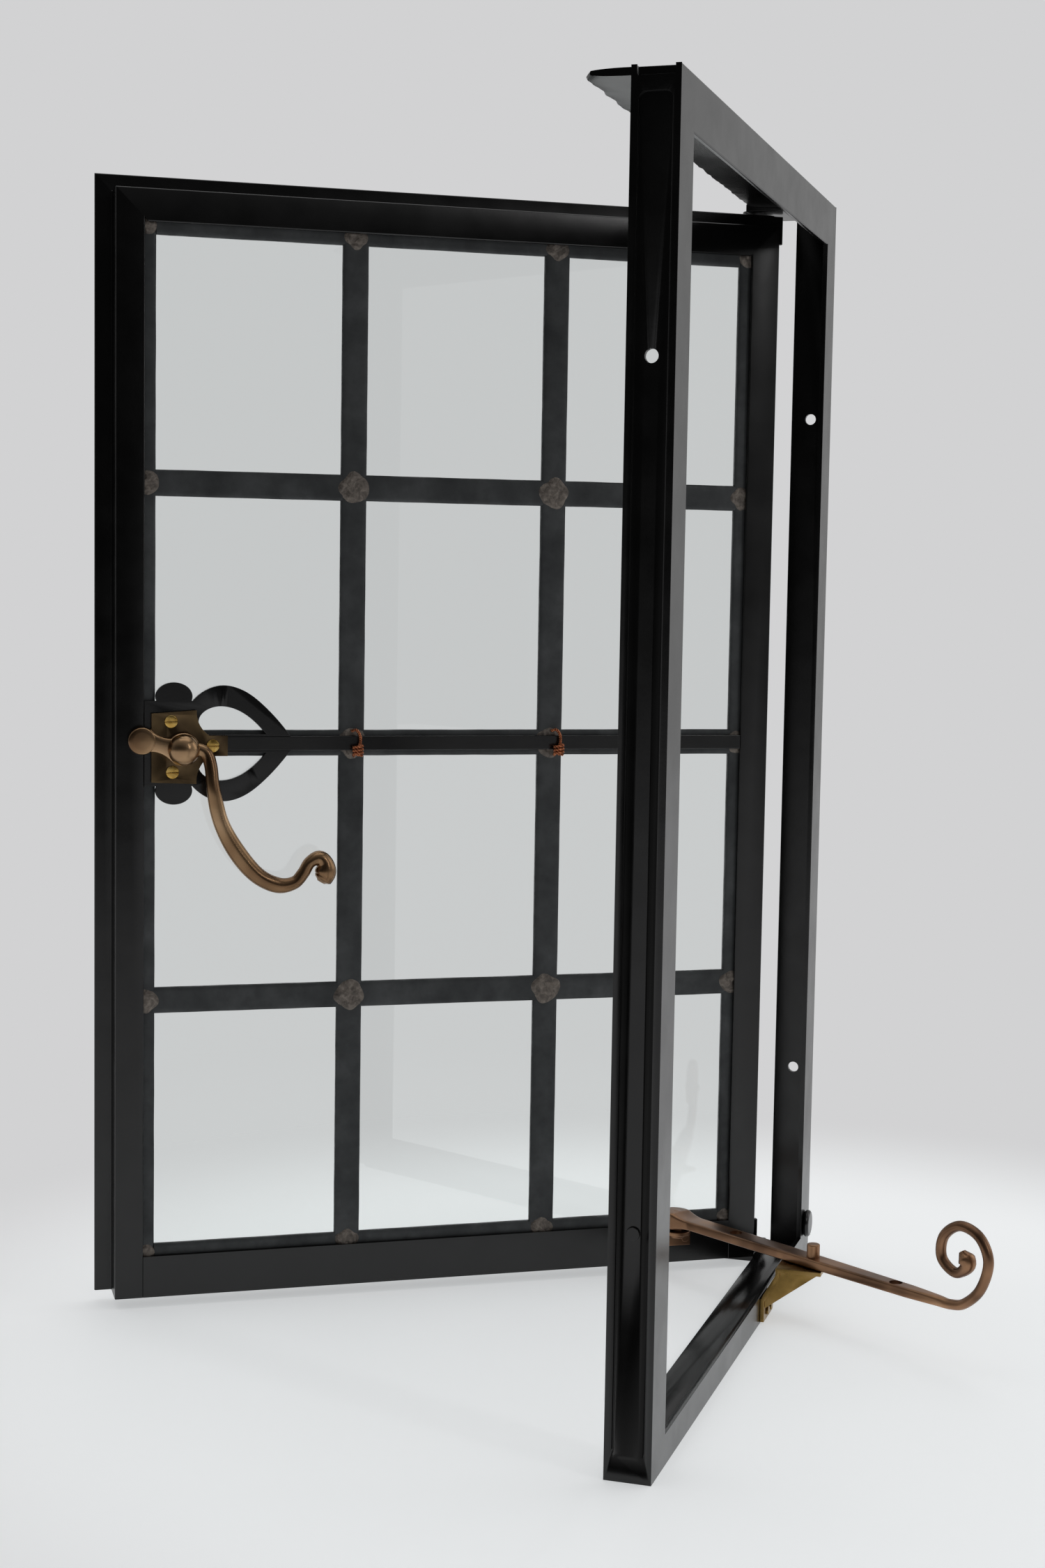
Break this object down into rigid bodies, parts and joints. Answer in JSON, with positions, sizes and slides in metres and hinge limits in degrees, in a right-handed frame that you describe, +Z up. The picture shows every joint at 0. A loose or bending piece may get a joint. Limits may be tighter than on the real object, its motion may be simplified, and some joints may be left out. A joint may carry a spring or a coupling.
{
  "type": "casement window",
  "caption": "Steel casement window with a leaded-light sash hung on projecting hinges, a cockspur handle and a scrolled stay on a peg, standing open.",
  "frame": {"origin": "middle of the flat underside of the fixed frame's sill", "axes": "+X from the handle side to the hinge side, +Y from the room to the outdoors, +Z up"},
  "size_m": [0.4407, 0.5492, 0.7],
  "materials": {
    "black_paint": "gloss",
    "lead": "matte",
    "solder": "rough",
    "window_glass": "clear",
    "putty": "matte",
    "copper": "satin",
    "yellow_brass": "brushed",
    "bright_brass": "polished",
    "antique_bronze": "aged satin"
  },
  "bodies": {
    "frame": {"frame_handle_stile": "black_paint", "frame_hinge_stile": "black_paint", "frame_head": "black_paint", "frame_sill": "black_paint", "drip_hood": "black_paint", "sill_end_stop": "black_paint", "bottom_hinge_arm": "black_paint", "top_hinge_arm": "black_paint", "hinge_pins": "black_paint", "peg_bracket": "yellow_brass", "stay_peg": "yellow_brass", "peg_bracket_screws": "bright_brass", "fixing_plug": "putty", "head_strip": "black_paint"},
    "sash": {"border_cames": "lead", "copper_ties": "copper", "cross_cames_1": "lead", "cross_cames_2": "lead", "cross_cames_3": "lead", "glass_pane_1_1": "window_glass", "glass_pane_1_2": "window_glass", "glass_pane_1_3": "window_glass", "glass_pane_2_1": "window_glass", "glass_pane_2_2": "window_glass", "glass_pane_2_3": "window_glass", "glass_pane_3_1": "window_glass", "glass_pane_3_2": "window_glass", "glass_pane_3_3": "window_glass", "glass_pane_4_1": "window_glass", "glass_pane_4_2": "window_glass", "glass_pane_4_3": "window_glass", "glazing_putty": "putty", "handle_backplate": "antique_bronze", "handle_screws": "bright_brass", "handle_spindle": "antique_bronze", "ornamental_plate": "black_paint", "saddle_bar": "black_paint", "sash_bottom_rail": "black_paint", "sash_free_stile": "black_paint", "sash_hinge_lugs": "black_paint", "sash_hinge_stile": "black_paint", "sash_top_rail": "black_paint", "solder_joints": "solder", "stay_bracket": "antique_bronze", "stay_bracket_screws": "bright_brass", "upright_cames": "lead"},
    "handle": {"cockspur_handle": "antique_bronze"},
    "stay_pivot": {"stay_pivot_pin": "antique_bronze"},
    "stay": {"casement_stay": "antique_bronze", "peg_tip": "yellow_brass"}
  },
  "joints": [
    {"name": "sash_swing", "type": "hinge", "parent": "frame", "child": "sash", "pos_m": [0.2142, 0.04, 0.35], "axis": [0, 0, 1], "range_deg": [-33.1, 55.6]},
    {"name": "handle_turn", "type": "hinge", "parent": "sash", "child": "handle", "pos_m": [-0.03666, 0.33509, 0.3473], "axis": [-0.8377, -0.5461, 0], "range_deg": [0, 90]},
    {"name": "stay_swivel", "type": "hinge", "parent": "sash", "child": "stay_pivot", "pos_m": [0.12935, 0.05846, 0.039], "axis": [0, 0, 1], "range_deg": [-110, 55]},
    {"name": "stay_lift", "type": "hinge", "parent": "stay_pivot", "child": "stay", "pos_m": [0.12935, 0.05846, 0.039], "axis": [-0.848, 0.5299, 0], "range_deg": [0, 6]}
  ]
}
